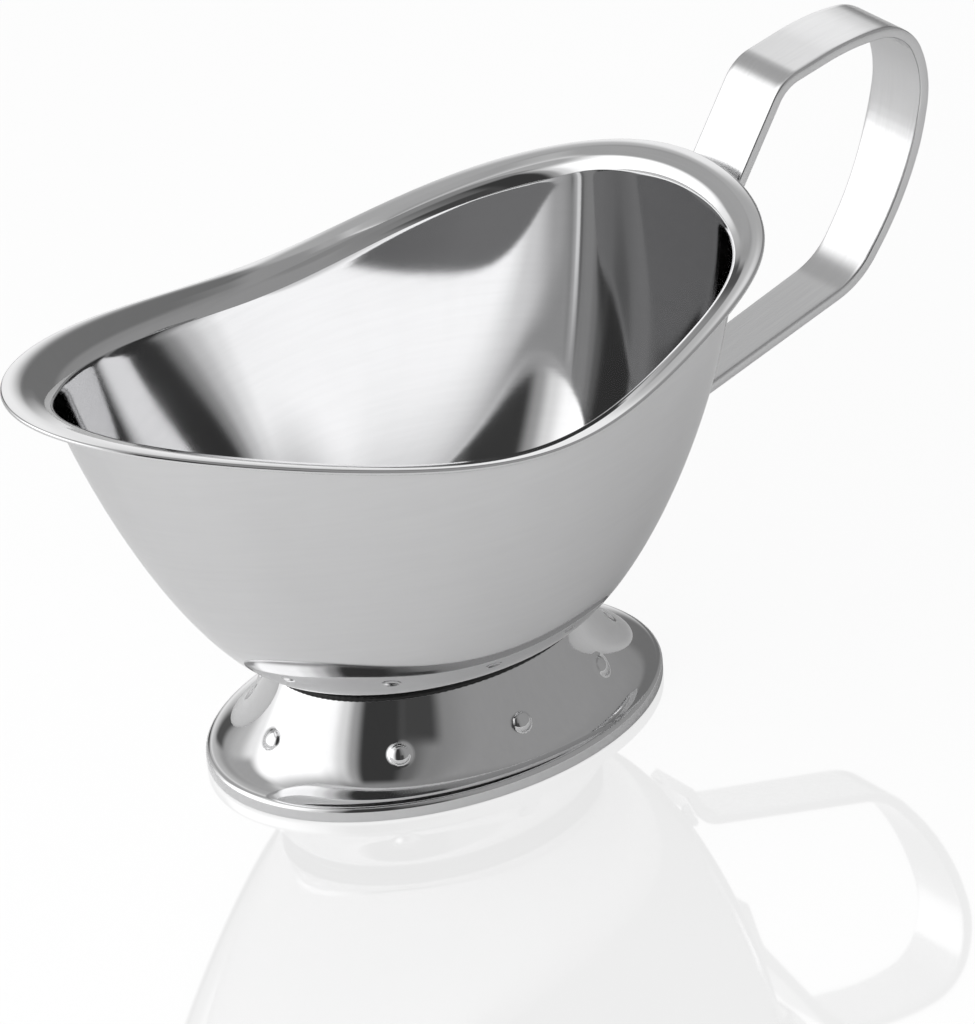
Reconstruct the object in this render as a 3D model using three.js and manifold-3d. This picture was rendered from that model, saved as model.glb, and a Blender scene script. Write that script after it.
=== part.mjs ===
// Gravy boat: an oval drawn bowl with a poured spout, on a pedestal foot, with a bent strap handle.
// Millimetres, +Z up, spout towards -X, handle towards +X, the foot rests on z = 0.
import * as THREE from "three";
import { mergeVertices } from "three/addons/utils/BufferGeometryUtils.js";
import Module from "manifold-3d";

// Sheet and strap stock.
const BOWL_SHEET = 1.0;
const FOOT_SHEET = 1.0;
const STRAP_THICKNESS = 2.4;
const GAP = 0.3; // clearance left between pieces that touch on the real object

// Rim of the bowl as sums of harmonics of the angle round it (0 at the handle, pi at the spout).
const RIM_LENGTHWISE = [7.1, 79.6, -12.3, 5.1, -1.8]; // cosine terms: middle, half length, egg shape
const RIM_SIDEWAYS = [55.5, -4.7, 3.0, 0.4]; // sine terms: half width, egg shape
const RIM_HEIGHT = [92.2, 0.6, 7.9, -2.4, 0.3, 0.6]; // cosine terms: mean height, dip at the sides

// Flange turned out round the rim.
const FLANGE_WIDTH = [7.4, -1.8, 0.7]; // cosine terms: wider at the spout
const FLANGE_TILT = 0.3; // radians above the horizontal

// Oval floor of the bowl, where the foot is welded, and the fullness of the wall above it.
const FLOOR_HALF_LENGTH = 36.4;
const FLOOR_HALF_WIDTH = 26.7;
const FLOOR_HEIGHT = 22.6;
const WALL_FULLNESS = [1.5, 0.1, -0.08, 0, 0.08]; // cosine terms: superellipse exponent, 2 is an ellipse
const WALL_SWEEP = [1.36, 0.15, -0.08]; // cosine terms: radians of it used, so the wall leans out at the top

// Pedestal foot.
const BASE_HALF_LENGTH = 51.4;
const BASE_HALF_WIDTH = 38.0;
const NECK_HALF_LENGTH = 34.6;
const NECK_HALF_WIDTH = 24.9;
const NECK_ROUND = 1.2;
const LIP_HEIGHT = 3.3;
const LIP_ROUND = 1.2;
const HEM_WIDTH = 3.2; // flat underside of the folded edge
const HEM_HEIGHT = 2.2;
const CEILING_INSET = 1.6; // from the neck's outline to the edge of the hollow's ceiling
const BEVEL_SHARE = 0.3; // how far in the middle of a rounded corner lies, as a share of its radius
const FOOT_TOP = FLOOR_HEIGHT - BOWL_SHEET / 2 - GAP;

// Hollow curve of the flare from the neck to the lip: Bezier points as shares of its spread and height.
const FLARE_CURVE = new THREE.CubicBezierCurve(
  new THREE.Vector2(0, 1),
  new THREE.Vector2(0.2, 0.7),
  new THREE.Vector2(0.5, 0.06),
  new THREE.Vector2(1, 0),
);

// Round beads embossed in the flare of the foot.
const BEAD_COUNT = 8;
const BEAD_EVENING = 0.1; // turn that spaces the beads evenly along the oval
const BEAD_HEIGHT = 10.0;
const BEAD_RADIUS = 2.2;
const BEAD_RISE = 1.2;
const BEAD_SINK = 0.1; // centre of a bead's cap, below the sheet's face
const DIMPLE_RADIUS = 1.5;
const DIMPLE_DEPTH = 0.9;

// Handle strap, its centreline seen from the side as corners with a bend radius each.
const STRAP_CORNERS = [
  { x: 70.5, z: 72.5, radius: 0 },
  { x: 73.4, z: 84.0, radius: 9 },
  { x: 93.4, z: 113.2, radius: 9 },
  { x: 111.8, z: 116.5, radius: 50 },
  { x: 126.6, z: 115.1, radius: 11 },
  { x: 130.8, z: 101.5, radius: 22 },
  { x: 125.3, z: 80.0, radius: 70 },
  { x: 110.8, z: 61.6, radius: 18 },
  { x: 63.0, z: 48.9, radius: 8 },
  { x: 58.8, z: 40.2, radius: 0 },
];
const STRAP_HALF_WIDTH_LOW = 6.4;
const STRAP_HALF_WIDTH_HIGH = 8.0;
const STRAP_EDGE_ROUND = 0.5;
const STRAP_LOW = 50; // heights between which the strap widens
const STRAP_HIGH = 88;

// Welds.
const SEAM_RADIUS = 0.8;
const BEAD_WELD_RADIUS = 1.1;
const UPPER_WELD = { low: 74.0, high: 82.0 };
const LOWER_WELD = { low: 42.0, high: 47.5 };
const TAB_REACH = 0.8; // radians round the bowl, each side of the handle, within which the tabs lie

const SEGMENTS = 64; // round the ovals
const WALL_ROWS = 9;
const FLARE_ROWS = 7;
const ARC_STEP = 0.11; // radians per facet in the strap bends

const wasm = await Module();
wasm.setup();

const lerp = THREE.MathUtils.lerp;

function cosines(terms, angle) {
  return terms.reduce((sum, term, k) => sum + term * Math.cos(k * angle), 0);
}

function sines(terms, angle) {
  return terms.reduce((sum, term, k) => sum + term * Math.sin((k + 1) * angle), 0);
}

// Value between low and high at which a rising function reaches the target.
function solve(rising, target, low, high) {
  for (let i = 0; i < 40; i++) {
    const middle = (low + high) / 2;
    if (rising(middle) < target) low = middle;
    else high = middle;
  }
  return (low + high) / 2;
}

// ---- bowl ----

function rimPoint(angle) {
  return new THREE.Vector3(
    cosines(RIM_LENGTHWISE, angle),
    sines(RIM_SIDEWAYS, angle),
    cosines(RIM_HEIGHT, angle),
  );
}

// Unit direction across the flange, from the wall to the free edge.
function flangeDirection(angle) {
  const step = 0.01;
  const along = rimPoint(angle + step).sub(rimPoint(angle - step));
  const outward = new THREE.Vector3(along.y, -along.x, 0).normalize();
  outward.multiplyScalar(Math.cos(FLANGE_TILT));
  outward.z = Math.sin(FLANGE_TILT);
  return outward;
}

// Line where the wall turns out into the flange.
function wallTop(angle) {
  return rimPoint(angle).addScaledVector(flangeDirection(angle), -cosines(FLANGE_WIDTH, angle));
}

function floorPoint(angle, fraction) {
  return new THREE.Vector3(
    FLOOR_HALF_LENGTH * fraction * Math.cos(angle),
    FLOOR_HALF_WIDTH * fraction * Math.sin(angle),
    FLOOR_HEIGHT,
  );
}

// Middle of the sheet: level 0 to 1 is the floor, 1 to 2 the wall, 2 to 3 the flange.
function sheetPoint(level, angle) {
  if (level <= 1) return floorPoint(angle, level);
  if (level >= 2) {
    return wallTop(angle).lerp(rimPoint(angle), level - 2);
  }
  const power = 2 / cosines(WALL_FULLNESS, angle);
  const sweep = cosines(WALL_SWEEP, angle);
  const turn = (level - 1) * sweep;
  const out = (Math.sin(turn) / Math.sin(sweep)) ** power;
  const up = (1 - Math.cos(turn) ** power) / (1 - Math.cos(sweep) ** power);
  const foot = floorPoint(angle, 1);
  const top = wallTop(angle);
  return new THREE.Vector3(lerp(foot.x, top.x, out), lerp(foot.y, top.y, out), lerp(foot.z, top.z, up));
}

// Unit normal of the sheet, pointing into the bowl.
function sheetNormal(level, angle) {
  if (level <= 1) return new THREE.Vector3(0, 0, 1);
  const step = 0.02;
  const up = sheetPoint(Math.min(level + step, 3), angle).sub(sheetPoint(level - step, angle));
  const along = sheetPoint(level, angle + step).sub(sheetPoint(level, angle - step));
  return up.cross(along).normalize();
}

function bowlPoint(row, angle) {
  const point = sheetPoint(row.level, angle);
  const half = BOWL_SHEET / 2;
  point.addScaledVector(sheetNormal(row.level, angle), row.side * half);
  return point.addScaledVector(flangeDirection(angle), row.overhang * half);
}

function bowlRows() {
  const levels = [0, 0.55, 1];
  for (let i = 1; i <= WALL_ROWS; i++) levels.push(1 + i / WALL_ROWS);
  levels.push(2.5, 3);
  const skin = (side) => levels.map((level) => ({ level, side, overhang: 0 }));
  const edge = [
    { level: 3, side: -Math.SQRT1_2, overhang: Math.SQRT1_2 },
    { level: 3, side: 0, overhang: 1 },
    { level: 3, side: Math.SQRT1_2, overhang: Math.SQRT1_2 },
  ];
  return [...skin(-1), ...edge, ...skin(1).reverse()];
}

// Closed skin through rows of points: the first and last rows are single points on the axis.
function loft(rows, pointAt) {
  const spread = rows.map((row, i) => new THREE.Vector2(i + 1, i));
  const geometry = new THREE.LatheGeometry(spread, SEGMENTS);
  const position = geometry.getAttribute("position");
  for (let i = 0; i <= SEGMENTS; i++) {
    const angle = ((i % SEGMENTS) * 2 * Math.PI) / SEGMENTS;
    rows.forEach((row, j) => {
      const point = pointAt(row, angle);
      position.setXYZ(i * rows.length + j, point.x, point.y, point.z);
    });
  }
  geometry.deleteAttribute("uv");
  geometry.computeVertexNormals();
  return geometry;
}

// ---- foot ----

// Outer face of the flare: 0 at the neck, 1 where it meets the lip. The tilt is the rise of its normal.
function flareRow(fraction) {
  const { x: spread, y: height } = FLARE_CURVE.getPoint(fraction);
  const run = FLARE_CURVE.getTangent(fraction);
  const reach = BASE_HALF_LENGTH - LIP_ROUND - NECK_HALF_LENGTH;
  const drop = FOOT_TOP - NECK_ROUND - LIP_HEIGHT;
  return {
    a: lerp(NECK_HALF_LENGTH, BASE_HALF_LENGTH - LIP_ROUND, spread),
    b: lerp(NECK_HALF_WIDTH, BASE_HALF_WIDTH - LIP_ROUND, spread),
    z: lerp(LIP_HEIGHT, FOOT_TOP - NECK_ROUND, height),
    tilt: Math.atan2(run.x * reach, -run.y * drop),
  };
}

function footRows() {
  const neck = (inset, z) => ovalInside(NECK_HALF_LENGTH, NECK_HALF_WIDTH, inset, z);
  const base = (inset, z) => ovalInside(BASE_HALF_LENGTH, BASE_HALF_WIDTH, inset, z);
  const neckBevel = NECK_ROUND * BEVEL_SHARE;
  const lipBevel = LIP_ROUND * BEVEL_SHARE;
  const underRound = LIP_ROUND / 2;
  const hem = HEM_WIDTH + underRound;
  const outer = [{ a: 0, b: 0, z: FOOT_TOP }];
  outer.push(neck(NECK_ROUND, FOOT_TOP), neck(neckBevel, FOOT_TOP - neckBevel));
  const inner = [];
  for (let i = 0; i <= FLARE_ROWS; i++) {
    const row = flareRow(i / FLARE_ROWS);
    outer.push(row);
    inner.push({
      a: row.a - FOOT_SHEET * Math.cos(row.tilt),
      b: row.b - FOOT_SHEET * Math.cos(row.tilt),
      z: row.z - FOOT_SHEET * Math.sin(row.tilt),
    });
  }
  outer.push(base(lipBevel, LIP_HEIGHT - lipBevel), base(0, LIP_HEIGHT - LIP_ROUND));
  outer.push(base(0, underRound), base(underRound, 0), base(hem, 0), base(hem, HEM_HEIGHT));
  const ceiling = FOOT_TOP - FOOT_SHEET;
  const innerTop = [{ a: 0, b: 0, z: ceiling }, neck(CEILING_INSET, ceiling)];
  inner.pop();
  return [...outer, ...inner.reverse(), ...innerTop.reverse()].reverse();
}

function ovalInside(halfLength, halfWidth, inset, z) {
  return { a: halfLength - inset, b: halfWidth - inset, z };
}

function ovalPoint(row, angle) {
  return new THREE.Vector3(row.a * Math.cos(angle), row.b * Math.sin(angle), row.z);
}

// Place on the outer face of the flare at the height of the beads.
function beadRow() {
  return flareRow(solve((fraction) => -flareRow(fraction).z, -BEAD_HEIGHT, 0, 1));
}

// Ellipsoid standing on the flare at one bead, with its short axis square to the sheet.
function beadSolid(angle, radius, rise, sink) {
  const row = beadRow();
  const outward = new THREE.Vector3(Math.cos(angle) / row.a, Math.sin(angle) / row.b, 0).normalize();
  const normal = outward.multiplyScalar(Math.cos(row.tilt));
  normal.z = Math.sin(row.tilt);
  const geometry = new THREE.SphereGeometry(1, 12, 8);
  geometry.rotateX(Math.PI / 2);
  const place = new THREE.Matrix4().compose(
    ovalPoint(row, angle).addScaledVector(normal, -sink),
    new THREE.Quaternion().setFromUnitVectors(new THREE.Vector3(0, 0, 1), normal),
    new THREE.Vector3(radius, radius, rise),
  );
  return solid(geometry.applyMatrix4(place));
}

function footGeometry() {
  let body = solid(loft(footRows(), ovalPoint));
  for (let i = 0; i < BEAD_COUNT; i++) {
    const turn = (i * 2 * Math.PI) / BEAD_COUNT;
    const angle = turn + BEAD_EVENING * Math.sin(2 * turn);
    body = body.add(beadSolid(angle, BEAD_RADIUS, BEAD_RISE, BEAD_SINK));
    body = body.subtract(beadSolid(angle, DIMPLE_RADIUS, DIMPLE_DEPTH, FOOT_SHEET));
  }
  return shell(body);
}

// Manifold solid of a closed geometry, and back again.
function solid(geometry) {
  const bare = new THREE.BufferGeometry();
  bare.setAttribute("position", geometry.getAttribute("position"));
  bare.setIndex(geometry.index);
  const merged = mergeVertices(bare, 1e-3);
  return new wasm.Manifold(
    new wasm.Mesh({
      numProp: 3,
      vertProperties: merged.getAttribute("position").array,
      triVerts: new Uint32Array(merged.index.array),
    }),
  );
}

function shell(body) {
  const mesh = body.getMesh();
  const geometry = new THREE.BufferGeometry();
  geometry.setAttribute("position", new THREE.BufferAttribute(mesh.vertProperties, 3));
  geometry.setIndex(new THREE.BufferAttribute(mesh.triVerts, 1));
  geometry.computeVertexNormals();
  return geometry;
}

// ---- handle ----

// Points of a side view line through the corners, with an arc of the given radius at each.
function bentLine(corners) {
  const points = [new THREE.Vector2(corners[0].x, corners[0].z)];
  for (let i = 1; i < corners.length - 1; i++) {
    points.push(...cornerArc(corners[i - 1], corners[i], corners[i + 1]));
  }
  const last = corners[corners.length - 1];
  points.push(new THREE.Vector2(last.x, last.z));
  return points;
}

function cornerArc(before, corner, after) {
  const at = new THREE.Vector2(corner.x, corner.z);
  const back = new THREE.Vector2(before.x, before.z).sub(at).normalize();
  const ahead = new THREE.Vector2(after.x, after.z).sub(at).normalize();
  const halfAngle = Math.acos(back.dot(ahead)) / 2;
  const middle = back.clone().add(ahead).normalize();
  const centre = at.clone().addScaledVector(middle, corner.radius / Math.sin(halfAngle));
  const start = at.clone().addScaledVector(back, corner.radius / Math.tan(halfAngle)).sub(centre);
  const sweep = Math.PI - 2 * halfAngle;
  const sense = Math.sign(back.cross(ahead));
  const steps = Math.max(2, Math.ceil(sweep / ARC_STEP));
  const arc = [];
  for (let i = 0; i <= steps; i++) {
    const turned = start.clone().rotateAround(new THREE.Vector2(), (-sense * sweep * i) / steps);
    arc.push(turned.add(centre));
  }
  return arc;
}

// Line moved sideways by a distance, square to its own run.
function moved(points, distance) {
  return points.map((point, i) => {
    const before = points[Math.max(i - 1, 0)];
    const after = points[Math.min(i + 1, points.length - 1)];
    const run = after.clone().sub(before).normalize();
    return new THREE.Vector2(point.x - run.y * distance, point.y + run.x * distance);
  });
}

function strapHalfWidth(z) {
  const share = THREE.MathUtils.clamp((z - STRAP_LOW) / (STRAP_HIGH - STRAP_LOW), 0, 1);
  return lerp(STRAP_HALF_WIDTH_LOW, STRAP_HALF_WIDTH_HIGH, share);
}

// Side outline of the strap, extruded across and then drawn in to its tapering width.
function strapGeometry() {
  const line = bentLine(STRAP_CORNERS);
  const inset = STRAP_THICKNESS / 2 - STRAP_EDGE_ROUND;
  const outline = new THREE.Shape([...moved(line, inset), ...moved(line, -inset).reverse()]);
  const geometry = new THREE.ExtrudeGeometry(outline, {
    depth: 2 - 2 * STRAP_EDGE_ROUND / STRAP_HALF_WIDTH_HIGH,
    bevelThickness: STRAP_EDGE_ROUND / STRAP_HALF_WIDTH_HIGH,
    bevelSize: STRAP_EDGE_ROUND,
    bevelSegments: 2,
    steps: 1,
  });
  geometry.translate(0, 0, STRAP_EDGE_ROUND / STRAP_HALF_WIDTH_HIGH - 1);
  geometry.rotateX(Math.PI / 2);
  const position = geometry.getAttribute("position");
  for (let i = 0; i < position.count; i++) {
    position.setY(i, position.getY(i) * strapHalfWidth(position.getZ(i)));
  }
  return geometry;
}

// ---- welds ----

// Point of the bowl's outer face on the handle side, at a given height and distance from the middle.
function backWall(y, z) {
  const face = (level, angle) => bowlPoint({ level, side: -1, overhang: 0 }, angle);
  const levelAt = (angle) => solve((level) => face(level, angle).z, z, 1, 2);
  const angle = solve((a) => face(levelAt(a), a).y, y, -TAB_REACH, TAB_REACH);
  return face(levelAt(angle), angle);
}

// Bead laid down one long edge of a strap tab, touching the tab's edge and the bowl.
function tabWeldGeometry(span, side) {
  const points = [];
  for (let i = 0; i <= 4; i++) {
    const z = lerp(span.low, span.high, i / 4);
    const y = side * (strapHalfWidth(z) + GAP + BEAD_WELD_RADIUS);
    const wall = backWall(y, z);
    const level = backWall(y, z + 1).sub(backWall(y, z - 1));
    const across = backWall(y + 1, z).sub(backWall(y - 1, z));
    const outward = across.cross(level).normalize();
    points.push(wall.addScaledVector(outward, GAP + BEAD_WELD_RADIUS));
  }
  return tube(new THREE.CatmullRomCurve3(points), BEAD_WELD_RADIUS, 8, false);
}

// Fine seam closing the crease between the bowl and the neck of the foot.
function seamGeometry() {
  const points = [];
  const reach = SEAM_RADIUS + GAP;
  for (let i = 0; i < SEGMENTS; i++) {
    const row = { a: NECK_HALF_LENGTH + reach, b: NECK_HALF_WIDTH + reach, z: FOOT_TOP - SEAM_RADIUS };
    points.push(ovalPoint(row, (i * 2 * Math.PI) / SEGMENTS));
  }
  return tube(new THREE.CatmullRomCurve3(points, true), SEAM_RADIUS, SEGMENTS, true);
}

// Round bar along a curve.
function tube(curve, radius, steps, closed) {
  const section = new THREE.Shape();
  section.absarc(0, 0, radius, 0, 2 * Math.PI);
  return new THREE.ExtrudeGeometry(section, { steps, curveSegments: closed ? 3 : 5, extrudePath: curve });
}

// ---- assembly ----

function piece(name, geometry, colour, roughness) {
  const material = new THREE.MeshStandardMaterial({ color: colour, roughness, metalness: 1 });
  const mesh = new THREE.Mesh(geometry, material);
  mesh.name = name;
  return mesh;
}

const boat = new THREE.Group();
boat.name = "gravy_boat";
boat.add(piece("bowl_shell", loft(bowlRows(), bowlPoint), 0xd4d6d8, 0.12));
boat.add(piece("pedestal_foot", footGeometry(), 0xc9cbcd, 0.1));
boat.add(piece("foot_weld_seam", seamGeometry(), 0xb4b6b8, 0.3));
boat.add(piece("handle_strap", strapGeometry(), 0xcfd1d3, 0.3));
boat.add(piece("upper_weld_left", tabWeldGeometry(UPPER_WELD, 1), 0xb0b2b4, 0.4));
boat.add(piece("upper_weld_right", tabWeldGeometry(UPPER_WELD, -1), 0xb0b2b4, 0.4));
boat.add(piece("lower_weld_left", tabWeldGeometry(LOWER_WELD, 1), 0xb0b2b4, 0.4));
boat.add(piece("lower_weld_right", tabWeldGeometry(LOWER_WELD, -1), 0xb0b2b4, 0.4));

// The origin is on the table, midway between the spout's tip and the back of the handle.
const reach = new THREE.Box3().setFromObject(boat);
for (const mesh of boat.children) mesh.position.x -= (reach.min.x + reach.max.x) / 2;

export default boat;
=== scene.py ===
"""Gravy boat in polished steel: bowl, pedestal foot, bent strap handle and their welds, on a white table."""

import math

import bpy
import numpy as np
from mathutils import Matrix, Vector


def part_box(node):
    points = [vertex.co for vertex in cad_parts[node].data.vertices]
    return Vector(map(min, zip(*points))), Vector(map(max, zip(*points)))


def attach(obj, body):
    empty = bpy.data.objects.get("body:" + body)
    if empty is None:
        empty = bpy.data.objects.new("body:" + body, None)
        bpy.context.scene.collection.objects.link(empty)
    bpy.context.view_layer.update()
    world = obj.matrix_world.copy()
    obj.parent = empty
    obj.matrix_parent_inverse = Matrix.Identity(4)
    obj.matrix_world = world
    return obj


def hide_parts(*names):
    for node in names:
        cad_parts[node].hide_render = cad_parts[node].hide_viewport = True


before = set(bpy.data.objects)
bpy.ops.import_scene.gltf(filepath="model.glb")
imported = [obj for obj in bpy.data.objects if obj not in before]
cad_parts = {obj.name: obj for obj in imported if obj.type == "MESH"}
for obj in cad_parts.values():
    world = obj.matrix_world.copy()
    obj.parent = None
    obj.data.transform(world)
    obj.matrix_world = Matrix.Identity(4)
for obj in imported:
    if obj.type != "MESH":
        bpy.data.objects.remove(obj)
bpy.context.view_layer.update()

MM = 0.001

# ---- sizes, in millimetres from the middle of the foot, as in the part's own source ----

BOWL_HALF_SHEET = 0.5
RIM_LENGTHWISE = (7.1, 79.6, -12.3, 5.1, -1.8)  # cosine terms of the angle round the rim, 0 at the handle
RIM_SIDEWAYS = (55.5, -4.7, 3.0, 0.4)  # sine terms
RIM_HEIGHT = (92.2, 0.6, 7.9, -2.4, 0.3, 0.6)  # cosine terms
FLANGE_WIDTH = (7.4, -1.8, 0.7)
FLANGE_TILT = 0.3
EDGE_OVERHANG = 0.93  # roundness of the free edge, a little under a half circle
FLANGE_CROWN = 0.35  # how far the flange bulges above a straight line
FLANGE_CREST = 0.62  # where across the flange it starts to roll over
BEND_REACH = 2.7  # length of the bend between the wall and the flange, each side of the corner
BEND_FULLNESS = 1.25  # pull of the bend's end tangents, in lengths of its chord
BEND_ROWS = 8
FLANGE_ROWS = 16
EDGE_ROWS = 7
ROW_CROWDING = 1.15  # rows of the wall stand a little closer towards the floor
FLOOR_HALF_LENGTH = 36.4
FLOOR_HALF_WIDTH = 26.7
FLOOR_HEIGHT = 22.6
WALL_FULLNESS = (1.5, 0.1, -0.08, 0.0, 0.08)  # superellipse exponent, 2 is an ellipse
WALL_SWEEP = (1.36, 0.15, -0.08)  # radians of it used, so that the wall's top still leans out

BASE_HALF_LENGTH = 51.4
BASE_HALF_WIDTH = 38.0
NECK_HALF_LENGTH = 34.6
NECK_HALF_WIDTH = 24.9
NECK_ROUND = 1.2
LIP_HEIGHT = 3.3
LIP_ROUND = 1.2
HEM_WIDTH = 3.2
HEM_HEIGHT = 2.2
FOOT_SHEET = 1.0
FOOT_TOP = 21.8
FLARE_CURVE = ((0, 1), (0.2, 0.7), (0.5, 0.06), (1, 0))  # control points: share of the spread, of the height
BEAD_COUNT = 8
BEAD_EVENING = 0.1
BEAD_HEIGHT = 10.0
BEAD_RADIUS = 2.2
BEAD_RISE = 1.05
BEAD_CROWDING = 0.55  # how much the mesh's columns crowd round the beads
SKIRT_RISE = 0.16  # low swelling round a bead's foot, as a share of the bead's rise
SKIRT_REACH = 0.18  # its half width, in bead radii
DIMPLE_SHARE = 0.9  # depth of the dimple behind a bead, as a share of the bead's rise
UNDERSIDE_SHARE = 0.9  # how far down the flare its inner face runs before it meets the folded edge
CEILING_INSET = 1.6  # from the neck's outline to the edge of the hollow's ceiling

STRAP_HALF_THICKNESS = 1.2
STRAP_EDGE_ROUND = 0.5
STRAP_CORNERS = (  # side view: x, z, bend radius
    (70.5, 72.5, 0), (73.4, 84.0, 9), (93.4, 113.2, 9), (111.8, 116.5, 50), (126.6, 115.1, 11),
    (130.8, 101.5, 22), (125.3, 80.0, 70), (110.8, 61.6, 18), (63.0, 48.9, 8), (58.8, 40.2, 0),
)
STRAP_HALF_WIDTH_LOW = 6.4  # up to STRAP_LOW above the table
STRAP_HALF_WIDTH_HIGH = 8.0  # from STRAP_HIGH up
STRAP_LOW = 50.0
STRAP_HIGH = 88.0

TAB_WELD_RADIUS = 1.05
TAB_WELD_RIPPLE = 0.16  # share of the radius
SEAM_RIPPLE = 0.12
RIPPLE_STEP = 1.9  # radians of ripple for each ring of a weld

# The foot's middle in the part's frame.
foot_low, foot_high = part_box("pedestal_foot")
FOOT_X = (foot_low.x + foot_high.x) / 2


def cosines(terms, angle):
    return sum(term * np.cos(k * angle) for k, term in enumerate(terms))


def sines(terms, angle):
    return sum(term * np.sin((k + 1) * angle) for k, term in enumerate(terms))


def oval(a, b, z, angle):
    return np.stack([a * np.cos(angle), b * np.sin(angle), np.full_like(angle, z)], -1)


def unit(vectors):
    return vectors / np.maximum(np.linalg.norm(vectors, axis=-1, keepdims=True), 1e-12)


# ---- meshes ----

def mesh_object(name, points, faces, node, crease_angle=None):
    """A piece from points in millimetres about the foot's middle, riding on the root for its CAD node."""
    points = np.asarray(points, float).reshape(-1, 3) * MM
    points[:, 0] += FOOT_X
    mesh = bpy.data.meshes.new(name)
    mesh.from_pydata(points.tolist(), [], faces)
    mesh.validate()
    mesh.shade_smooth()
    if crease_angle is not None:
        mesh.set_sharp_from_angle(angle=crease_angle)
    mesh.update()
    piece = bpy.data.objects.new(name, mesh)
    bpy.context.scene.collection.objects.link(piece)
    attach(piece, "root")
    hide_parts(node)
    return piece


def skin_faces(rows, columns, closed_start=False, closed_end=False):
    """Quads between rows of points that close round; a pole point stands at each closed end."""
    faces = []
    offset = 1 if closed_start else 0
    for i in range(rows - 1):
        for j in range(columns):
            a = offset + i * columns + j
            b = offset + i * columns + (j + 1) % columns
            faces.append((a, b, b + columns, a + columns))
    if closed_start:
        faces += [(0, offset + (j + 1) % columns, offset + j) for j in range(columns)]
    if closed_end:
        last = offset + (rows - 1) * columns
        pole = offset + rows * columns
        faces += [(last + j, last + (j + 1) % columns, pole) for j in range(columns)]
    return faces


# Bowl: middle of the sheet, then both faces at half a sheet from it.

def rim_points(angle):
    return np.stack([
        cosines(RIM_LENGTHWISE, angle),
        sines(RIM_SIDEWAYS, angle),
        cosines(RIM_HEIGHT, angle),
    ], -1)


def flange_directions(angle):
    along = rim_points(angle + 0.01) - rim_points(angle - 0.01)
    outward = unit(np.stack([along[..., 1], -along[..., 0]], -1)) * math.cos(FLANGE_TILT)
    return np.concatenate([outward, np.full_like(outward[..., :1], math.sin(FLANGE_TILT))], -1)


def sheet_rows(angle, wall_rows):
    """Rows of points up the middle of the sheet, from the floor's edge to the free edge of the flange."""
    rim = rim_points(angle)
    direction = flange_directions(angle)
    width = cosines(FLANGE_WIDTH, angle)[:, None]
    corner = rim - direction * width
    foot = oval(FLOOR_HALF_LENGTH, FLOOR_HALF_WIDTH, FLOOR_HEIGHT, angle)
    power = 2 / cosines(WALL_FULLNESS, angle)
    sweep = cosines(WALL_SWEEP, angle)

    def wall(share):
        turn = sweep * share
        out = (np.sin(turn) / np.sin(sweep)) ** power
        up = (1 - np.cos(turn) ** power) / (1 - np.cos(sweep) ** power)
        point = foot + (corner - foot) * out[:, None]
        point[:, 2] = FLOOR_HEIGHT + (corner[:, 2] - FLOOR_HEIGHT) * up
        return point

    # The wall stops a bend's length below the corner.
    low = np.full_like(angle, 0.4)
    high = np.ones_like(angle)
    for _ in range(40):
        middle = (low + high) / 2
        below = corner[:, 2] - wall(middle)[:, 2] > BEND_REACH
        low = np.where(below, middle, low)
        high = np.where(below, high, middle)
    stop = (low + high) / 2
    rows = [wall(stop * (i / wall_rows) ** ROW_CROWDING) for i in range(wall_rows + 1)]

    # A smooth bend from the wall's last tangent to the flange.
    rise = np.cross(direction, np.stack([-direction[:, 1], direction[:, 0], 0 * angle], -1))
    rise = unit(rise) * np.sign(rise[:, 2:3])

    def flange(share):
        if share < FLANGE_CREST:
            bulge = share / FLANGE_CREST
        else:
            bulge = 1 - ((share - FLANGE_CREST) / (1 - FLANGE_CREST)) ** 2
        return corner + direction * width * share + rise * FLANGE_CROWN * bulge

    start = rows[-1]
    leave = unit(start - wall(stop - 0.006))
    start_share = float(BEND_REACH / np.mean(width))
    end = flange(start_share)
    arrive = unit(flange(start_share + 0.01) - end)
    reach = np.linalg.norm(end - start, axis=-1, keepdims=True) * BEND_FULLNESS
    for i in range(1, BEND_ROWS + 1):
        t = i / (BEND_ROWS + 1)
        rows.append(
            start * (2 * t**3 - 3 * t**2 + 1) + end * (3 * t**2 - 2 * t**3)
            + leave * reach * (t**3 - 2 * t**2 + t) + arrive * reach * (t**3 - t**2)
        )
    for i in range(FLANGE_ROWS + 1):
        rows.append(flange(start_share + (1 - start_share) * i / FLANGE_ROWS))
    return np.stack(rows)


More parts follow.
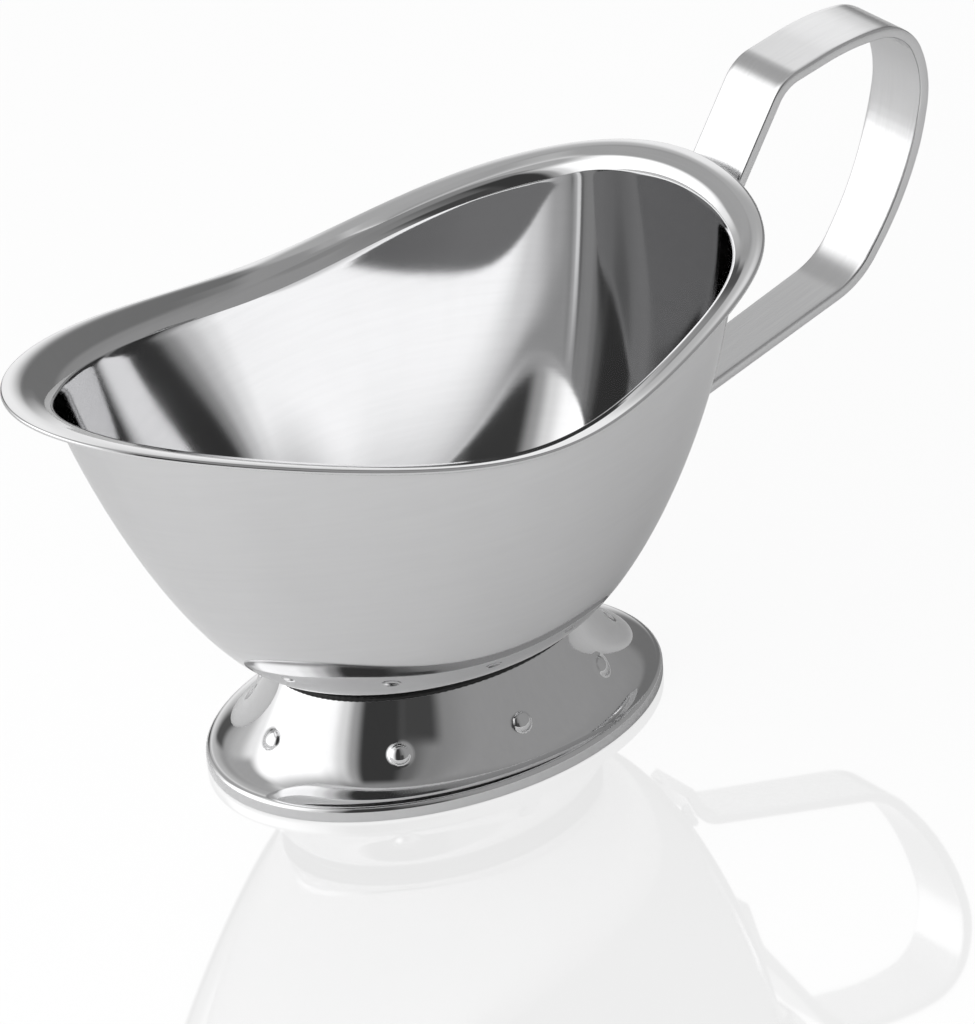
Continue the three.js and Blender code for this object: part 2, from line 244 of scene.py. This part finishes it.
def bowl_piece(columns=384, wall_rows=84):
    angle = np.arange(columns) * 2 * math.pi / columns
    middle = sheet_rows(angle, wall_rows)
    up = np.gradient(middle, axis=0)
    along = np.roll(middle, -1, axis=1) - np.roll(middle, 1, axis=1)
    normal = unit(np.cross(up, along))
    normal[0] = (0, 0, 1)
    inner = middle + normal * BOWL_HALF_SHEET
    outer = middle - normal * BOWL_HALF_SHEET
    tip = unit(middle[-1] - middle[-2])
    edge = []
    for i in range(1, EDGE_ROWS + 1):
        turn = math.pi * i / (EDGE_ROWS + 1)
        overhang = tip * math.sin(turn) * EDGE_OVERHANG
        edge.append(middle[-1] + (overhang - normal[-1] * math.cos(turn)) * BOWL_HALF_SHEET)

    def disc(side):
        z = FLOOR_HEIGHT + side * BOWL_HALF_SHEET
        return [oval(FLOOR_HALF_LENGTH * f, FLOOR_HALF_WIDTH * f, z, angle) for f in (0.25, 0.5, 0.75, 0.9)]

    rows = disc(-1) + list(outer) + edge + list(inner[::-1]) + disc(1)[::-1]
    points = [[(0, 0, FLOOR_HEIGHT - BOWL_HALF_SHEET)]] + rows + [[(0, 0, FLOOR_HEIGHT + BOWL_HALF_SHEET)]]
    faces = skin_faces(len(rows), columns, True, True)
    return mesh_object("bowl", np.concatenate(points), faces, "bowl_shell")


# Foot: a hollow flare with beads pressed out of it, on a folded edge.

def bead_angles():
    turns = [i * 2 * math.pi / BEAD_COUNT for i in range(BEAD_COUNT)]
    return [turn + BEAD_EVENING * math.sin(2 * turn) for turn in turns]


def flare(share):
    """Outer face of the flare, 0 at the neck to 1 at the lip: half length, half width and height."""
    spread, height = 0.0, 0.0
    for k, (out, up) in enumerate(FLARE_CURVE):
        weight = math.comb(3, k) * (1 - share) ** (3 - k) * share**k
        spread += weight * out
        height += weight * up
    return (
        NECK_HALF_LENGTH + (BASE_HALF_LENGTH - LIP_ROUND - NECK_HALF_LENGTH) * spread,
        NECK_HALF_WIDTH + (BASE_HALF_WIDTH - LIP_ROUND - NECK_HALF_WIDTH) * spread,
        LIP_HEIGHT + (FOOT_TOP - NECK_ROUND - LIP_HEIGHT) * height,
    )


def bead_swelling(points):
    """Height of the beads over each point of the flare."""
    low, high = 0.0, 1.0
    for _ in range(30):
        share = (low + high) / 2
        if flare(share)[2] > BEAD_HEIGHT:
            low = share
        else:
            high = share
    a, b, z = flare(share)
    height = np.zeros(points.shape[:-1])
    for angle in bead_angles():
        centre = np.array([a * math.cos(angle), b * math.sin(angle), z])
        away = np.linalg.norm(points - centre, axis=-1) / BEAD_RADIUS
        cap = np.sqrt(np.clip(1 - away**2, 0, 1))
        skirt = SKIRT_RISE * np.exp(-((away - 1.0) / SKIRT_REACH) ** 2)
        height = np.maximum(height, BEAD_RISE * np.where(away < 1, np.maximum(cap, skirt), skirt))
    return height


def foot_piece(columns=576, flare_rows=110):
    even = np.arange(columns) * 2 * math.pi / columns
    crowd = even - BEAD_CROWDING / BEAD_COUNT * np.sin(BEAD_COUNT * even)
    angle = crowd + BEAD_EVENING * np.sin(2 * crowd)

    def neck(inset, z):
        return oval(NECK_HALF_LENGTH - inset, NECK_HALF_WIDTH - inset, z, angle)

    def base(inset, z):
        return oval(BASE_HALF_LENGTH - inset, BASE_HALF_WIDTH - inset, z, angle)

    rows = [oval(NECK_HALF_LENGTH * f, NECK_HALF_WIDTH * f, FOOT_TOP, angle) for f in (0.4, 0.8)]
    for i in range(5):
        turn = math.pi / 2 * i / 5
        rows.append(neck(NECK_ROUND * (1 - math.sin(turn)), FOOT_TOP - NECK_ROUND * (1 - math.cos(turn))))
    outer = np.stack([oval(*flare(i / flare_rows), angle) for i in range(flare_rows + 1)])
    down = np.gradient(outer, axis=0)
    along = np.roll(outer, -1, axis=1) - np.roll(outer, 1, axis=1)
    normal = unit(np.cross(down, along))
    swelling = bead_swelling(outer)[..., None]
    rows += list(outer + normal * swelling)
    for i in range(1, 7):
        turn = math.pi / 2 * i / 6
        rows.append(base(LIP_ROUND * (1 - math.sin(turn)), LIP_HEIGHT - LIP_ROUND * (1 - math.cos(turn))))
    under = LIP_ROUND / 2
    for i in range(6):
        turn = math.pi / 2 * i / 5
        rows.append(base(under * (1 - math.cos(turn)), under * (1 - math.sin(turn))))
    hem = HEM_WIDTH + under
    rows += [base(hem - 0.5, 0.0), base(hem - 0.15, 0.1), base(hem, 0.5)]
    rows += [base(hem, HEM_HEIGHT - 0.4), base(hem - 0.2, HEM_HEIGHT)]
    inner = outer - normal * FOOT_SHEET + normal * swelling * DIMPLE_SHARE
    inner = inner[: int(flare_rows * UNDERSIDE_SHARE)]
    inner[..., 2] = np.minimum(inner[..., 2], FOOT_TOP - FOOT_SHEET - 0.2)
    rows += list(inner[::-1])
    ceiling = FOOT_TOP - FOOT_SHEET
    across, aside = NECK_HALF_LENGTH - CEILING_INSET, NECK_HALF_WIDTH - CEILING_INSET
    rows += [oval(across * f, aside * f, ceiling, angle) for f in (1.0, 0.9, 0.5)]
    points = [[(0, 0, FOOT_TOP)]] + rows + [[(0, 0, ceiling)]]
    faces = [tuple(reversed(face)) for face in skin_faces(len(rows), columns, True, True)]
    return mesh_object("foot", np.concatenate(points), faces, "pedestal_foot")


# Handle: a flat strap swept along a bent line.

def bent_line(step=0.03):
    """Points of the strap's middle line in side view, with an arc at each corner."""
    corners = [np.array(c[:2], float) for c in STRAP_CORNERS]
    points = [corners[0]]
    for before, corner, after, spec in zip(corners, corners[1:], corners[2:], STRAP_CORNERS[1:]):
        radius = spec[2]
        back = unit(before - corner)
        ahead = unit(after - corner)
        half = math.acos(float(np.dot(back, ahead))) / 2
        centre = corner + unit(back + ahead) * radius / math.sin(half)
        start = corner + back * radius / math.tan(half) - centre
        sweep = math.pi - 2 * half
        sense = math.copysign(1, back[0] * ahead[1] - back[1] * ahead[0])
        steps = max(4, math.ceil(sweep / step))
        for i in range(steps + 1):
            turn = -sense * sweep * i / steps
            c, s = math.cos(turn), math.sin(turn)
            points.append(centre + np.array([c * start[0] - s * start[1], s * start[0] + c * start[1]]))
    points.append(corners[-1])
    return np.array(points)


def evenly(points, spacing):
    """The same line with points at an even spacing."""
    run = np.concatenate([[0], np.cumsum(np.linalg.norm(np.diff(points, axis=0), axis=1))])
    keep = np.concatenate([[True], np.diff(run) > 1e-6])
    run, points = run[keep], points[keep]
    at = np.linspace(0, run[-1], max(2, round(run[-1] / spacing) + 1))
    return np.stack([np.interp(at, run, points[:, k]) for k in range(points.shape[1])], -1)


def strap_half_width(z):
    share = np.clip((z - STRAP_LOW) / (STRAP_HIGH - STRAP_LOW), 0, 1)
    return STRAP_HALF_WIDTH_LOW + (STRAP_HALF_WIDTH_HIGH - STRAP_HALF_WIDTH_LOW) * share


def strap_section():
    """Outline of the strap: share of the half width before its rounding, then offsets across and through."""
    outline = []
    flats = (-0.9, -0.6, -0.2, 0.2, 0.6, 0.9)
    corners = ((1, 1), (-1, 1), (-1, -1), (1, -1))
    for k, (side, face) in enumerate(corners):
        for i in range(5):
            turn = math.pi / 2 * i / 4
            if side * face > 0:
                c, s = math.cos(turn), math.sin(turn)
            else:
                c, s = math.sin(turn), math.cos(turn)
            outline.append((side, side * c, face * s))
        if k == 0:
            outline += [(-f, 0.0, 1.0) for f in flats]
        if k == 2:
            outline += [(f, 0.0, -1.0) for f in flats]
    return outline


def strap_piece():
    line = evenly(bent_line(), 0.6)
    run = unit(np.gradient(line, axis=0))
    square = np.stack([-run[:, 1], run[:, 0]], -1)
    section = strap_section()
    thick = STRAP_HALF_THICKNESS - STRAP_EDGE_ROUND - 0.05
    rows = []
    stations = [(i, 0.0, 0.0) for i in range(len(line))]
    # The tabs' ends are rounded over two rows: row, step in from the end, how much smaller the outline is.
    stations[0] = (0, 0.35, 0.0)
    stations[-1] = (len(line) - 1, -0.35, 0.0)
    stations = [(0, 0.0, 0.35), (0, 0.12, 0.12)] + stations
    stations += [(len(line) - 1, -0.12, 0.12), (len(line) - 1, 0.0, 0.35)]
    for i, step_in, shrink in stations:
        base = line[i] + run[i] * step_in
        half = strap_half_width(base[1]) - STRAP_EDGE_ROUND
        ring = []
        for flat, across, face in section:
            y = flat * half + across * (STRAP_EDGE_ROUND - shrink)
            if abs(face) < 1e-9:
                out = 0.0
            else:
                out = math.copysign(thick, face) + face * (STRAP_EDGE_ROUND - shrink)
            ring.append((base[0] + square[i][0] * out, y, base[1] + square[i][1] * out))
        rows.append(ring)
    rows = np.array(rows)
    faces = skin_faces(len(rows), len(section))
    count = len(section)
    faces.append(tuple(range(count))[::-1])
    faces.append(tuple((len(rows) - 1) * count + j for j in range(count)))
    faces = [tuple(reversed(face)) for face in faces]
    return mesh_object("handle", rows, faces, "handle_strap", math.radians(50))


# Welds: uneven beads of metal along a path.

def weld_faces_and_points(path, radius, closed, ripple, ring=12):
    path = np.asarray(path, float)
    if closed:
        run = unit(np.roll(path, -1, axis=0) - np.roll(path, 1, axis=0))
    else:
        run = unit(np.gradient(path, axis=0))
    upright = (0.0, 0.0, 1.0) if closed else (0.3, 0.1, 1.0)
    side = unit(np.cross(run, upright))
    lift = np.cross(side, run)
    points = []
    for i, (p, s, l) in enumerate(zip(path, side, lift)):
        swell = 1.0
        if not closed:
            share = i / (len(path) - 1)
            swell = math.sqrt(max(0.03, 1 - (2 * share - 1) ** 6))
        r = radius * swell * (1 - ripple * (0.5 + 0.5 * math.cos(i * RIPPLE_STEP)))
        for j in range(ring):
            turn = 2 * math.pi * j / ring
            points.append(p + s * math.cos(turn) * r + l * math.sin(turn) * r)
    rows = len(path)
    faces = []
    for i in range(rows if closed else rows - 1):
        for j in range(ring):
            a = i * ring + j
            b = i * ring + (j + 1) % ring
            c = ((i + 1) % rows) * ring
            faces.append((a, b, c + (j + 1) % ring, c + j))
    if not closed:
        faces.append(tuple(range(ring))[::-1])
        faces.append(tuple((rows - 1) * ring + j for j in range(ring)))
    return points, faces


def seam_piece():
    """The ring of weld metal in the crease between the bowl and the neck, as wide as its CAD node."""
    low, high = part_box("foot_weld_seam")
    radius = (high.z - low.z) / 2 / MM
    a = (high.x - low.x) / 2 / MM - radius
    b = (high.y - low.y) / 2 / MM - radius
    z = (high.z + low.z) / 2 / MM
    angle = np.arange(480) * 2 * math.pi / 480
    points, faces = weld_faces_and_points(oval(a, b, z, angle), radius, True, SEAM_RIPPLE)
    return mesh_object("foot_seam", points, faces, "foot_weld_seam")


def tab_weld_piece(node):
    """A short bead along one edge of a strap tab, inside its CAD node's box."""
    low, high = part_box(node)
    slack = TAB_WELD_RADIUS * MM
    curve = 1.0 if low.z > STRAP_LOW * MM else 2.2  # the bowl's wall curves more beside the lower tab
    outer_y = high.y if high.y > 0 else low.y
    inner_y = low.y if high.y > 0 else high.y
    spread = outer_y - inner_y - math.copysign(2 * slack, outer_y)
    path = []
    for t in np.linspace(0, 1, 26):
        x = low.x + slack + (high.x - low.x - 2 * slack) * t**curve
        y = (outer_y + inner_y) / 2 + spread * (t - 0.5)
        z = low.z + slack * 0.4 + (high.z - low.z - 0.8 * slack) * t
        path.append(((x - FOOT_X) / MM, y / MM, z / MM))
    points, faces = weld_faces_and_points(path, TAB_WELD_RADIUS, False, TAB_WELD_RIPPLE)
    return mesh_object(node + "_bead", points, faces, node)


# ---- materials ----

def new_material(name):
    material = bpy.data.materials.new(name)
    material.use_nodes = True
    tree = material.node_tree
    return material, tree, tree.nodes["Principled BSDF"]


def add(tree, kind, **settings):
    node = tree.nodes.new(kind)
    for key, value in settings.items():
        setattr(node, key, value)
    return node


def steel(name, colour, roughness, grain_scale, grain_bump, cloud=0.03):
    """Polished or brushed steel: fine grain lines, and slow changes of gloss and tone across the surface."""
    material, tree, shader = new_material(name)
    shader.inputs["Metallic"].default_value = 1.0
    where = add(tree, "ShaderNodeTexCoord")
    stretch = add(tree, "ShaderNodeMapping")
    stretch.inputs["Scale"].default_value = grain_scale
    tree.links.new(where.outputs["Object"], stretch.inputs["Vector"])
    grain = add(tree, "ShaderNodeTexNoise")
    grain.inputs["Scale"].default_value = 1.0
    grain.inputs["Detail"].default_value = 3.0
    tree.links.new(stretch.outputs["Vector"], grain.inputs["Vector"])
    patches = add(tree, "ShaderNodeTexNoise")
    patches.inputs["Scale"].default_value = 38.0
    patches.inputs["Detail"].default_value = 4.0
    tree.links.new(where.outputs["Object"], patches.inputs["Vector"])
    gloss = add(tree, "ShaderNodeMapRange")
    gloss.inputs["From Min"].default_value = 0.3
    gloss.inputs["From Max"].default_value = 0.7
    gloss.inputs["To Min"].default_value = roughness * 0.8
    gloss.inputs["To Max"].default_value = roughness * 1.25
    tree.links.new(patches.outputs["Fac"], gloss.inputs["Value"])
    tree.links.new(gloss.outputs["Result"], shader.inputs["Roughness"])
    tone = add(tree, "ShaderNodeMix", data_type="RGBA")
    tone.inputs["A"].default_value = (*[c * (1 - cloud) for c in colour], 1)
    tone.inputs["B"].default_value = (*[min(1.0, c * (1 + cloud)) for c in colour], 1)
    tree.links.new(grain.outputs["Fac"], tone.inputs["Factor"])
    tree.links.new(tone.outputs["Result"], shader.inputs["Base Color"])
    bump = add(tree, "ShaderNodeBump")
    bump.inputs["Strength"].default_value = grain_bump
    bump.inputs["Distance"].default_value = 0.00002
    tree.links.new(grain.outputs["Fac"], bump.inputs["Height"])
    tree.links.new(bump.outputs["Normal"], shader.inputs["Normal"])
    return material


STEEL = (0.73, 0.73, 0.735)
bowl_steel = steel("bowl_steel", STEEL, 0.055, (60, 60, 900), 0.05)
foot_steel = steel("foot_steel", STEEL, 0.035, (700, 700, 60), 0.04)
strap_steel = steel("strap_steel", STEEL, 0.2, (90, 2400, 90), 0.5, 0.06)
weld_steel = steel("weld_steel", (0.62, 0.63, 0.64), 0.3, (900, 900, 900), 0.6, 0.08)
# Painted shade: the seam's near-black colour stands for the shadow deep in the crease between bowl and neck.
seam_steel = steel("seam_steel", (0.04, 0.04, 0.04), 0.4, (900, 900, 900), 0.6, 0.1)

bowl = bowl_piece()
bowl.data.materials.append(bowl_steel)
foot = foot_piece()
foot.data.materials.append(foot_steel)
handle = strap_piece()
handle.data.materials.append(strap_steel)
seam = seam_piece()
seam.data.materials.append(seam_steel)
for weld_node in ("upper_weld_left", "upper_weld_right", "lower_weld_left", "lower_weld_right"):
    tab_weld_piece(weld_node).data.materials.append(weld_steel)

# ---- studio ----

FLOOR_DROP = 0.00005  # metres under the boat
FLOOR_GLOW = 1.06  # how white the camera sees it
FLOOR_SHADE = 0.12  # share of its true shading in that
FLOOR_GLOSS = 0.2  # share of the mirror image in that


def floor_material():
    """Plain white gloss table. The camera sees it lifted to clean white, with a faint mirror image. In
    reflections it is an ordinary matt white table, with the shade that the studio's light gives it."""
    material, tree, shader = new_material("white_table")
    shader.inputs["Roughness"].default_value = 0.6
    where = add(tree, "ShaderNodeTexCoord")
    speckle = add(tree, "ShaderNodeTexNoise")
    speckle.inputs["Scale"].default_value = 30.0
    tree.links.new(where.outputs["Object"], speckle.inputs["Vector"])
    tone = add(tree, "ShaderNodeMix", data_type="RGBA")
    tone.inputs["A"].default_value = (0.88, 0.88, 0.88, 1)
    tone.inputs["B"].default_value = (0.92, 0.92, 0.92, 1)
    tree.links.new(speckle.outputs["Fac"], tone.inputs["Factor"])
    tree.links.new(tone.outputs["Result"], shader.inputs["Base Color"])
    glow = add(tree, "ShaderNodeEmission")
    glow.inputs["Strength"].default_value = FLOOR_GLOW
    matt = add(tree, "ShaderNodeMixShader")
    matt.inputs["Fac"].default_value = FLOOR_SHADE
    tree.links.new(glow.outputs["Emission"], matt.inputs[1])
    tree.links.new(shader.outputs["BSDF"], matt.inputs[2])
    gloss = add(tree, "ShaderNodeBsdfAnisotropic")
    gloss.inputs["Roughness"].default_value = 0.03
    polished = add(tree, "ShaderNodeMixShader")
    polished.inputs["Fac"].default_value = FLOOR_GLOSS
    tree.links.new(matt.outputs["Shader"], polished.inputs[1])
    tree.links.new(gloss.outputs["BSDF"], polished.inputs[2])
    path = add(tree, "ShaderNodeLightPath")
    choice = add(tree, "ShaderNodeMixShader")
    tree.links.new(path.outputs["Is Camera Ray"], choice.inputs["Fac"])
    tree.links.new(shader.outputs["BSDF"], choice.inputs[1])
    tree.links.new(polished.outputs["Shader"], choice.inputs[2])
    tree.links.new(choice.outputs["Shader"], tree.nodes["Material Output"].inputs["Surface"])
    return material


def floor_piece(reach=6.0):
    mesh = bpy.data.meshes.new("floor")
    corners = [(-reach, -reach), (reach, -reach), (reach, reach), (-reach, reach)]
    mesh.from_pydata([(x, y, -FLOOR_DROP) for x, y in corners], [], [(0, 1, 2, 3)])
    piece = bpy.data.objects.new("floor", mesh)
    bpy.context.scene.collection.objects.link(piece)
    mesh.materials.append(floor_material())


# Brightness of the studio walls round the compass: degrees from the handle's side, counted
# anticlockwise from above, and radiance.
WALLS = (
    (0, 0.34), (20, 0.31), (30, 0.2), (44, 0.2), (51, 1.1), (62, 1.1), (70, 0.6), (80, 0.4),
    (96, 0.6), (112, 1.1), (126, 1.72), (178, 1.65), (191, 1.35), (203, 0.9), (212, 0.4),
    (220, 0.05), (240, 0.05), (250, 0.16), (262, 0.28), (285, 0.36), (330, 0.36), (360, 0.34),
)
BRIGHTEST_WALL = 2.5  # radiance that a full white of the ramp stands for
BACKDROP = 1.1  # radiance that the camera sees in place of the walls
# Cards hung in front of the walls: centre and width in degrees round, centre and height in degrees up,
# softness of their edges in degrees, radiance.
CARDS = (
    (158, 100, 75, 44, 24, 0.5),
    (280, 170, 78, 30, 12, 0.3),
    (30, 56, 72, 44, 10, 0.36),
    (99, 26, 42, 28, 10, 0.45),
    (76, 10, 8, 30, 6, 0.1),
    (62, 40, 60, 34, 14, 0.5),
    (254, 20, 12, 28, 8, 0.07),
)


def studio_world():
    world = bpy.data.worlds.new("studio")
    bpy.context.scene.world = world
    world.use_nodes = True
    tree = world.node_tree

    def math_node(operation, *values):
        node = add(tree, "ShaderNodeMath", operation=operation)
        for socket, value in zip(node.inputs, values):
            if isinstance(value, (int, float)):
                socket.default_value = value
            else:
                tree.links.new(value, socket)
        return node.outputs["Value"]

    where = add(tree, "ShaderNodeTexCoord")
    split = add(tree, "ShaderNodeSeparateXYZ")
    tree.links.new(where.outputs["Generated"], split.inputs["Vector"])
    x, y, z = split.outputs
    round_turn = math_node("ARCTAN2", y, x)
    compass = math_node("FLOORED_MODULO", math_node("DIVIDE", round_turn, 2 * math.pi), 1.0)
    height = math_node("MULTIPLY", math_node("ARCSINE", z), 180 / math.pi)

    ramp = add(tree, "ShaderNodeValToRGB")
    ramp.color_ramp.interpolation = "EASE"
    elements = ramp.color_ramp.elements
    while len(elements) > 1:
        elements.remove(elements[-1])
    for k, (degrees, radiance) in enumerate(WALLS):
        element = elements[0] if k == 0 else elements.new(degrees / 360)
        element.position = degrees / 360
        element.color = (*[radiance / BRIGHTEST_WALL] * 3, 1)
    tree.links.new(compass, ramp.inputs["Fac"])
    light = math_node("MULTIPLY", ramp.outputs["Color"], BRIGHTEST_WALL)

    def edge(distance, half, soft):
        fade = add(tree, "ShaderNodeMapRange", interpolation_type="SMOOTHSTEP")
        tree.links.new(distance, fade.inputs["Value"])
        fade.inputs["From Min"].default_value = half + soft / 2
        fade.inputs["From Max"].default_value = half - soft / 2
        return fade.outputs["Result"]

    degrees_round = math_node("MULTIPLY", compass, 360.0)
    for at, width, up, tall, soft, radiance in CARDS:
        turned = math_node("WRAP", math_node("SUBTRACT", degrees_round, float(at)), 180.0, -180.0)
        sideways = math_node("ABSOLUTE", turned)
        upright = math_node("ABSOLUTE", math_node("SUBTRACT", height, float(up)))
        cover = math_node("MULTIPLY", edge(sideways, width / 2, soft), edge(upright, tall / 2, soft))
        gain = math_node("MULTIPLY", cover, math_node("SUBTRACT", radiance, light))
        light = math_node("ADD", light, gain)

    path = add(tree, "ShaderNodeLightPath")
    seen = math_node("MULTIPLY", path.outputs["Is Camera Ray"], math_node("SUBTRACT", BACKDROP, light))
    tree.links.new(math_node("ADD", light, seen), tree.nodes["Background"].inputs["Strength"])
    tree.nodes["Background"].inputs["Color"].default_value = (1, 1, 1, 1)


SOFT_LIGHT_SIZE = 0.6  # in metres, as are its place and the point that it faces
SOFT_LIGHT_WATTS = 3.4
SOFT_LIGHT_PLACE = (-0.65, -0.35, 0.42)
SOFT_LIGHT_AIM = (-0.25, -0.2, 0.0)


def soft_light():
    """A soft light over the spout's side. It lights the table and casts the boat's shadow there; it is not
    seen itself in the steel, which shows the walls and cards."""
    data = bpy.data.lights.new("soft_light", "AREA")
    data.size = SOFT_LIGHT_SIZE
    data.energy = SOFT_LIGHT_WATTS
    lamp = bpy.data.objects.new("soft_light", data)
    way = Vector(SOFT_LIGHT_AIM) - Vector(SOFT_LIGHT_PLACE)
    turn = way.to_track_quat("-Z", "Y").to_matrix().to_4x4()
    lamp.matrix_world = Matrix.Translation(SOFT_LIGHT_PLACE) @ turn
    lamp.visible_glossy = False
    lamp.visible_camera = False
    bpy.context.scene.collection.objects.link(lamp)


floor_piece()
studio_world()
soft_light()

# ---- camera ----

CAMERA_AZIMUTH = -35.49
CAMERA_ELEVATION = 28.32
CAMERA_ROLL = -4.38
CAMERA_DISTANCE = 2050.0  # from the aimed point
AIM_FROM_FOOT = -1.2  # a point on the table near the foot's middle
AIM_RIGHT = 11.5  # the aimed point, from that one
AIM_UP = 41.5
FOCAL_LENGTH = 351.6


def place_camera():
    azimuth, elevation = math.radians(CAMERA_AZIMUTH), math.radians(CAMERA_ELEVATION)
    back = Vector((
        math.sin(azimuth) * math.cos(elevation),
        -math.cos(azimuth) * math.cos(elevation),
        math.sin(elevation),
    ))
    level = Vector((math.cos(azimuth), math.sin(azimuth), 0))
    upright = back.cross(level)
    roll = math.radians(CAMERA_ROLL)
    right = math.cos(roll) * level + math.sin(roll) * upright
    up = -math.sin(roll) * level + math.cos(roll) * upright
    anchor = Vector((FOOT_X + AIM_FROM_FOOT * MM, 0, 0))
    place = anchor + (back * CAMERA_DISTANCE + right * AIM_RIGHT + up * AIM_UP) * MM
    data = bpy.data.cameras.new("camera")
    data.lens = FOCAL_LENGTH
    data.sensor_width = 36
    data.clip_start = 0.05
    data.clip_end = 50
    camera = bpy.data.objects.new("camera", data)
    camera.matrix_world = Matrix((
        (right.x, up.x, back.x, place.x),
        (right.y, up.y, back.y, place.y),
        (right.z, up.z, back.z, place.z),
        (0, 0, 0, 1),
    ))
    bpy.context.scene.collection.objects.link(camera)
    bpy.context.scene.camera = camera


place_camera()
bpy.context.scene.view_settings.view_transform = "Standard"
